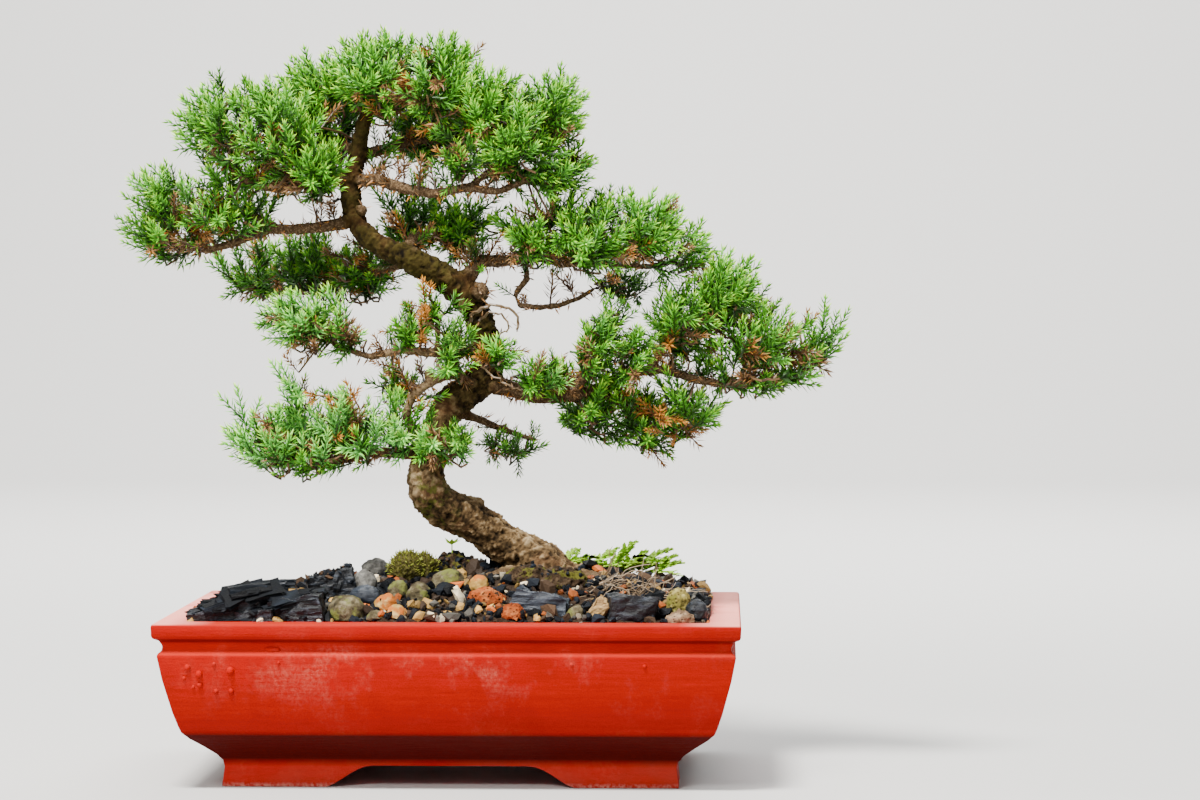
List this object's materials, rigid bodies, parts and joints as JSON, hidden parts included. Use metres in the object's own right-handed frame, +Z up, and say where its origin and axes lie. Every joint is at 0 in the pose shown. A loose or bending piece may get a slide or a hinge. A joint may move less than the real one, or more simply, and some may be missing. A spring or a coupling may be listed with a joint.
{
  "type": "bonsai tree in a pot",
  "caption": "Juniper bonsai with a curving trunk and spreading pads of needles, growing in a footed rectangular pot dressed with soil, stones, charcoal and moss.",
  "frame": {"origin": "under the middle of the whole object's bounding box, at the height of the surface that the pot's feet stand on", "axes": "+Z up, +X along the pot's length to the right of someone who faces its front, +Y to the back, across the pot's width"},
  "size_m": [0.386, 0.21, 0.395],
  "materials": {
    "pot_paint": "matte red-orange paint, brushed on, with chalky pale patches",
    "screen_plastic": "matte",
    "soil": "matte, loose bark and compost mix",
    "bark": "matte, rough bark with a little green algae",
    "needles": "satin, fresh green with yellow-green tips",
    "charcoal": "matte, charred wood with a faint sheen on its grain",
    "slate": "satin",
    "mossy_stone": "matte, olive and tan, porous",
    "ochre_stone": "matte",
    "grey_stone": "matte",
    "rust_lava": "matte, porous",
    "split_wood": "matte",
    "earth": "matte, crumbly",
    "moss": "matte, fuzzy",
    "fern": "satin",
    "fine_roots": "matte"
  },
  "bodies": {
    "root": {"back_lava": "grey_stone", "bark_block": "charcoal", "black_flint": "slate", "black_lava": "slate", "charcoal_back_slab": "charcoal", "charcoal_long_slab": "charcoal", "charcoal_right_block": "charcoal", "charcoal_ringed_block": "charcoal", "charcoal_small_slab": "charcoal", "clay_clod": "earth", "drain_screen_left": "screen_plastic", "drain_screen_right": "screen_plastic", "earth_mound": "earth", "fern_sprig": "fern", "fine_root_mat": "fine_roots", "foliage_back_left": "needles", "foliage_crown_back": "needles", "foliage_crown_inner": "needles", "foliage_crown_left": "needles", "foliage_crown_right": "needles", "foliage_crown_top": "needles", "foliage_far_left": "needles", "foliage_front_left_spray": "needles", "foliage_front_middle": "needles", "foliage_front_right_spray": "needles", "foliage_left_inner": "needles", "foliage_left_low": "needles", "foliage_left_middle": "needles", "foliage_low_back": "needles", "foliage_low_left_back": "needles", "foliage_low_spray": "needles", "foliage_right_back": "needles", "foliage_right_big": "needles", "foliage_right_front": "needles", "foliage_right_low": "needles", "foliage_right_upper": "needles", "foliage_small_back": "needles", "foliage_upper_left": "needles", "gold_stone": "ochre_stone", "grey_cobble": "grey_stone", "lichen_stone": "mossy_stone", "moss_cushion": "moss", "mossy_pebble": "mossy_stone", "ochre_lower_stone": "ochre_stone", "ochre_upper_stone": "ochre_stone", "olive_pebble": "mossy_stone", "olive_stone": "mossy_stone", "orange_lava": "rust_lava", "pot": "pot_paint", "pumice_boulder": "mossy_stone", "root_clod": "earth", "round_cobble": "mossy_stone", "rust_lava": "rust_lava", "slate_shard": "slate", "soil": "soil", "tan_pebble": "ochre_stone", "trunk_and_branches": "bark", "wood_chip": "split_wood"}
  },
  "joints": []
}
